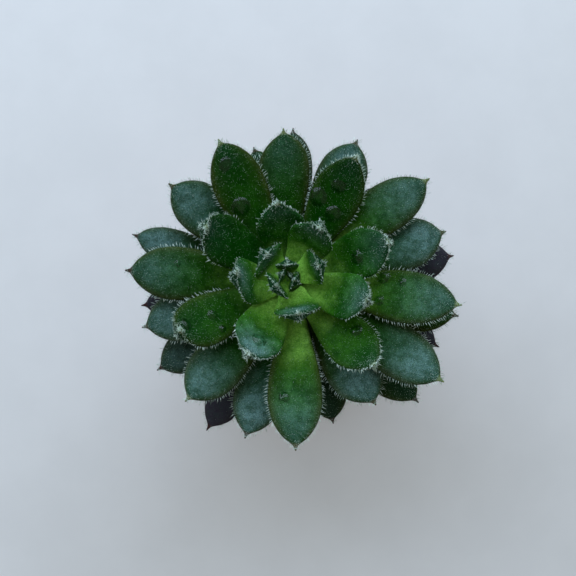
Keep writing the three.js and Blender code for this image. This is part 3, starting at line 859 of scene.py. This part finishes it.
def divided(profile, longest):
    """The same profile with no step longer than the longest."""
    result = []
    for start, end in zip(profile, profile[1:]):
        parts = max(1, math.ceil(np.linalg.norm(end - start) / longest))
        result += [start + (end - start) * i / parts for i in range(parts)]
    return np.array(result + [profile[-1]])


def outer_radius(height):
    slope = (RIM_RADIUS - RIM_BAND_STEP - FOOT_RADIUS) / (POT_HEIGHT - RIM_BAND_HEIGHT)
    return FOOT_RADIUS + slope * height


def inner_radius(height):
    return outer_radius(height) - POT_WALL


def pot_profile():
    band = POT_HEIGHT - RIM_BAND_HEIGHT
    corners = [
        (DRAIN_RADIUS, POT_FLOOR / 2), (DRAIN_RADIUS, 0), (FOOT_RADIUS, 0), (outer_radius(band), band),
        (RIM_RADIUS, band), (RIM_RADIUS, POT_HEIGHT), (inner_radius(POT_HEIGHT), POT_HEIGHT),
        (inner_radius(POT_FLOOR), POT_FLOOR), (DRAIN_RADIUS, POT_FLOOR), (DRAIN_RADIUS, POT_FLOOR / 2),
    ]
    return divided(rounded(corners, 0.9 * MM), 1.4 * MM)


def turned_rings(profile, sides, stray):
    """Rings of a turned wall that strays a little from round, with the faint ribs that fingers leave."""
    rings = []
    for radius, height in profile:
        ribs = math.sin(height / RIB_SPACING * 2 * math.pi) * RIB_SHARE
        for angle in turns_round(sides):
            way = Vector((math.cos(angle), math.sin(angle), 0))
            lump = noise.noise(way * 1.4 + Vector((0, 0, height / (9 * MM)))) + ribs
            spread = radius + (stray * lump if 0 < height < POT_HEIGHT else 0)
            rings.append((way.x * spread, way.y * spread, height))
    return rings


def soil_height(x, y, relief):
    """Height of the soil's top, which dips and rises over a few millimetres."""
    coarse = noise.noise(Vector((x, y, 0)) / (5 * MM))
    fine = noise.noise(Vector((x, y, 7 * MM)) / (1.3 * MM))
    return SOIL_HEIGHT + relief * (0.45 * coarse + 0.3 * fine - 0.45)


def scattered_bits(random, places, sizes, flatness):
    """Rough lumps of eighty faces, each turned its own way."""
    shape = bmesh.new()
    bmesh.ops.create_icosphere(shape, subdivisions=2, radius=1)
    shape.verts.index_update()
    ball = np.array([vertex.co for vertex in shape.verts])
    faces = [[vertex.index for vertex in face.verts] for face in shape.faces]
    shape.free()
    parts = []
    for place, size in zip(places, sizes):
        lump = ball * (1 + random.uniform(-0.22, 0.22, (len(ball), 1)))
        lump = lump * random.uniform(0.65, 1.15, 3) * np.array([1, 1, flatness])
        turn = Euler(random.uniform(-0.5, 0.5, 2).tolist() + [random.uniform(0, 6.28)]).to_matrix()
        parts.append((lump @ np.array(turn).T * size + place, faces))
    return join_meshes(parts)


def soil_places(random, count, size, relief):
    """Seeded places on the soil between the stem and the pot."""
    reach = inner_radius(SOIL_HEIGHT)
    places = []
    while len(places) < count:
        x, y = random.uniform(-1, 1, 2) * reach
        from_stem = math.hypot(x - STEM_FOOT[0], y - STEM_FOOT[1])
        if math.hypot(x, y) < reach - size and from_stem > STEM_RADIUS + size:
            places.append((x, y, soil_height(x, y, relief)))
    return np.array(places)


def drop_mesh(form, along, turn, radius, flatness, rings=12, sides=32):
    """Points and faces of a cap of water over the skin, whose ups and downs it smooths out."""
    share = np.sin(np.linspace(0, 1, rings + 1)[1:] * math.pi / 2)[:, None]
    angle = turns_round(sides)
    forward, sideways = share * np.cos(angle), share * np.sin(angle)
    places = along + forward * radius / form.length
    turns = np.arccos(np.clip(math.cos(turn) + sideways * radius / half_width_at(form, places), -0.98, 0.98))
    skin, outward, _ = leaf_directions(form, places, turns)
    powers = [forward ** 0, forward, sideways, forward ** 2, forward * sideways, sideways ** 2]
    powers = np.stack(powers, axis=-1).reshape(-1, 6)
    smooth = (powers @ np.linalg.lstsq(powers, skin.reshape(-1, 3), rcond=None)[0]).reshape(skin.shape)
    centre, up, _ = (value[0] for value in leaf_directions(form, np.array([along]), np.array([turn])))
    top = smooth + up * flatness * radius * (1 - share[..., None] ** 2)
    foot = skin - outward * DROP_SINKS
    ends = [centre - up * DROP_SINKS, centre + up * flatness * radius]
    return np.concatenate([*foot, *top[::-1], ends]), closed_faces(2 * rings, sides)


# Operators, in the order in which the plant is made

class ECHEVERIA_OT_leaves(bpy.types.Operator):
    """Lay the skin of every open leaf over its solid"""

    bl_idname = "echeveria.leaves"
    bl_label = "Leaves"

    def execute(self, context):
        size = context.scene.echeveria_mesh
        finish = leaf_finish(context.scene.echeveria_colours)
        for age in range(LEAF_COUNT):
            node = f"leaf_{age:02d}"
            points, faces, values = leaf_skin(leaf_form(age), size.rows, size.sides, size.tip_crowding)
            make_piece(f"{node}_skin", points, faces, finish, node, True, values)
        return {"FINISHED"}


class ECHEVERIA_OT_heart(bpy.types.Operator):
    """Fold the youngest leaves over the heart"""

    bl_idname = "echeveria.heart"
    bl_label = "Heart"

    def execute(self, context):
        size = context.scene.echeveria_mesh
        skins, values = [], []
        for age in range(-HEART_COUNT, 0):
            *skin, skin_values = leaf_skin(leaf_form(age), size.rows // 2, size.sides // 2, size.tip_crowding)
            skins.append(skin)
            values.append(skin_values)
        joined = {key: np.concatenate([some[key] for some in values]) for key in values[0]}
        finish = bpy.data.materials["leaf_skin"]
        make_piece("heart_skin", *join_meshes(skins), finish, "heart", True, joined)
        return {"FINISHED"}


class ECHEVERIA_OT_hairs(bpy.types.Operator):
    """Stand hairs on the margins, keels and faces of the leaves"""

    bl_idname = "echeveria.hairs"
    bl_label = "Hairs"

    def execute(self, context):
        hairs = context.scene.echeveria_hairs
        finish = hair_finish(context.scene.echeveria_colours)
        for age in range(LEAF_COUNT):
            node = f"leaf_{age:02d}"
            make_piece(f"{node}_hairs", *leaf_hairs(leaf_form(age), hairs), finish, node)
        heart = [leaf_hairs(leaf_form(age), hairs) for age in range(-HEART_COUNT, 0)]
        make_piece("heart_hairs", *join_meshes(heart), finish, "heart")
        return {"FINISHED"}


class ECHEVERIA_OT_drops(bpy.types.Operator):
    """Rest drops of water on the leaves"""

    bl_idname = "echeveria.drops"
    bl_label = "Water drops"

    flatness: number_setting("Flatness", "Height of a drop as a share of its radius", 0.32, 0.05)

    def execute(self, context):
        drops = []
        for age, along, turn, radius in WATER_DROPS:
            drops.append(drop_mesh(leaf_form(age), along, turn * DEGREE, radius * MM, self.flatness))
        make_piece("water_drops", *join_meshes(drops), water_finish())
        return {"FINISHED"}


class ECHEVERIA_OT_stem(bpy.types.Operator):
    """Wrap the stem in bark with the scars of fallen leaves"""

    bl_idname = "echeveria.stem"
    bl_label = "Stem"

    rows: count_setting("Rows", "Rows of faces up the stem", 90, 8)
    sides: count_setting("Sides", "Faces round the stem", 56, 8)
    scar_depth: length_setting("Scar depth", "How deep a leaf's scar sinks", 0.35 * MM)

    def execute(self, context):
        scar_ages = np.arange(LEAF_COUNT, LEAF_COUNT + SCAR_COUNT)
        scar_heights = YOUNGEST_ROOT_HEIGHT - ROOT_STEP * scar_ages
        scar_bearings = FIRST_BEARING + GOLDEN_ANGLE * scar_ages
        angles = turns_round(self.sides)
        gap = (angles[:, None] - scar_bearings + math.pi) % (2 * math.pi) - math.pi
        points = []
        for height in np.linspace(STEM_FOOT_HEIGHT, STEM_TOP_HEIGHT, self.rows):
            centre = stem_centre(height)
            radius = float(stem_radius(height))
            away = (gap * radius / SCAR_HALF_WIDTH) ** 2 + ((height - scar_heights) / SCAR_HALF_HEIGHT) ** 2
            spread = radius - self.scar_depth * np.exp(-away ** 2).max(axis=1)
            x, y = centre[0] + spread * np.cos(angles), centre[1] + spread * np.sin(angles)
            points += zip(x, y, [height] * self.sides)
        points += [(*STEM_FOOT, STEM_FOOT_HEIGHT), (*stem_centre(STEM_TOP_HEIGHT), STEM_TOP_HEIGHT)]
        faces = closed_faces(self.rows, self.sides)
        finish = stem_finish(context.scene.echeveria_colours)
        values = {"height": share_of_stem(np.array(points)[:, 2])}
        make_piece("stem_bark", points, faces, finish, "stem", True, values)
        return {"FINISHED"}


class ECHEVERIA_OT_pot(bpy.types.Operator):
    """Turn the clay pot"""

    bl_idname = "echeveria.pot"
    bl_label = "Pot"

    def execute(self, context):
        clay = context.scene.echeveria_pot
        profile = pot_profile()[:-1]
        rings = turned_rings(profile, clay.sides, clay.wobble)
        faces = revolve_faces(len(profile) + 1, clay.sides) % len(rings)
        values = {"height": np.array(rings)[:, 2] / POT_HEIGHT}
        make_piece("clay_pot", rings, faces, clay_finish(clay), "pot", True, values)
        return {"FINISHED"}


class ECHEVERIA_OT_soil(bpy.types.Operator):
    """Fill the pot with peat, and strew crumbs and pumice on it"""

    bl_idname = "echeveria.soil"
    bl_label = "Soil"

    sides: count_setting("Sides", "Faces round the soil", 128, 24)
    rings: count_setting("Rings", "Rings of faces on its top", 34, 8)
    crumb_size: length_setting("Crumb size", "Radius of a large crumb", 0.95 * MM)
    grit_size: length_setting("Grit size", "Radius of a large bit of pumice", 1.7 * MM)

    def execute(self, context):
        soil = context.scene.echeveria_soil
        floor = POT_FLOOR + SEAT_GAP
        above = floor + SOIL_CORNER
        edge = inner_radius(SOIL_HEIGHT) - SEAT_GAP
        wall = [
            (SOIL_CENTRE, floor), (inner_radius(floor) - SOIL_CORNER, floor),
            (inner_radius(above) - SEAT_GAP, above),
        ]
        top = [(edge * (1 - i / self.rings) + SOIL_CENTRE, None) for i in range(self.rings + 1)]
        points = []
        for radius, height in wall + top:
            for angle in turns_round(self.sides):
                x, y = radius * math.cos(angle), radius * math.sin(angle)
                points.append((x, y, soil_height(x, y, soil.relief) if height is None else height))
        faces = revolve_faces(len(wall) + len(top), self.sides).tolist()
        faces.append(range(self.sides)[::-1])
        faces.append(range(len(points) - self.sides, len(points)))
        peat = soil_finish(soil)
        make_piece("potting_soil", points, faces, peat, "soil", True)

        random = np.random.default_rng(SOIL_SEED)
        for name, count, size, least, power, flatness, finish in (
            ("soil_crumbs", soil.crumbs, self.crumb_size, 0.25, 1.6, 0.7, peat),
            ("soil_grit", soil.grit, self.grit_size, 0.3, 1, 0.8, grit_finish(soil)),
        ):
            places = soil_places(random, count, size, soil.relief)
            sizes = size * random.uniform(least, 1, count) ** power
            make_piece(name, *scattered_bits(random, places, sizes, flatness), finish, "soil")
        return {"FINISHED"}


class ECHEVERIA_OT_stage(bpy.types.Operator):
    """Set up the floor, the light and the camera"""

    bl_idname = "echeveria.stage"
    bl_label = "Stage"

    def execute(self, context):
        studio = context.scene.echeveria_studio
        mesh = bpy.data.meshes.new("floor")
        corners = [(x * FLOOR_REACH, y * FLOOR_REACH, 0) for x, y in ((-1, -1), (1, -1), (1, 1), (-1, 1))]
        mesh.from_pydata(corners, [], [(0, 1, 2, 3)])
        mesh.materials.append(floor_finish(studio))
        add_object("floor", mesh)
        world = bpy.data.worlds.new("studio")
        world.use_nodes = True
        background = world.node_tree.nodes["Background"]
        background.inputs["Color"].default_value = (*studio.sky, 1)
        background.inputs["Strength"].default_value = studio.sky_strength
        context.scene.world = world
        light = bpy.data.lights.new("window", "AREA")
        light.shape = "RECTANGLE"
        light.size = studio.window_width
        light.size_y = studio.window_height
        light.energy = studio.window_power
        light.color = studio.window
        aim(add_object("window", light), WINDOW_PLACE, WINDOW_TARGET)
        view = bpy.data.cameras.new("camera")
        view.lens = studio.lens
        view.clip_start = NEAREST_SEEN
        camera = add_object("camera", view)
        back = Vector((0, -math.cos(VIEW_TILT), math.sin(VIEW_TILT)))
        aim(camera, VIEW_TARGET + back * VIEW_DISTANCE, VIEW_TARGET)
        context.scene.camera = camera
        context.scene.view_settings.view_transform = "Standard"
        return {"FINISHED"}


class ECHEVERIA_PT_panel(bpy.types.Panel):
    """The steps that make the plant, in order"""

    bl_label = "Potted echeveria"
    bl_idname = "ECHEVERIA_PT_panel"
    bl_space_type = "VIEW_3D"
    bl_region_type = "UI"
    bl_category = "Echeveria"

    def draw(self, context):
        for step in STEPS:
            self.layout.operator(step.bl_idname)
        for key in SETTINGS:
            group = getattr(context.scene, key)
            box = self.layout.box()
            for setting in group.bl_rna.properties:
                if setting.identifier not in ("rna_type", "name"):
                    box.prop(group, setting.identifier)


STEPS = (
    ECHEVERIA_OT_leaves, ECHEVERIA_OT_heart, ECHEVERIA_OT_hairs, ECHEVERIA_OT_drops,
    ECHEVERIA_OT_stem, ECHEVERIA_OT_pot, ECHEVERIA_OT_soil, ECHEVERIA_OT_stage,
)
SETTINGS = {
    "echeveria_colours": LeafColours,
    "echeveria_hairs": LeafHairs,
    "echeveria_mesh": LeafMesh,
    "echeveria_pot": ClayPot,
    "echeveria_soil": PottingSoil,
    "echeveria_studio": Studio,
}


def register():
    for group in SETTINGS.values():
        bpy.utils.register_class(group)
    for step in (*STEPS, ECHEVERIA_PT_panel):
        bpy.utils.register_class(step)
    for key, group in SETTINGS.items():
        setattr(bpy.types.Scene, key, bpy.props.PointerProperty(type=group))


def unregister():
    for key in SETTINGS:
        delattr(bpy.types.Scene, key)
    for step in (ECHEVERIA_PT_panel, *reversed(STEPS)):
        bpy.utils.unregister_class(step)
    for group in reversed(SETTINGS.values()):
        bpy.utils.unregister_class(group)


def main():
    register()
    for step in STEPS:
        group, name = step.bl_idname.split(".")
        getattr(getattr(bpy.ops, group), name)()


if __name__ == "__main__":
    main()
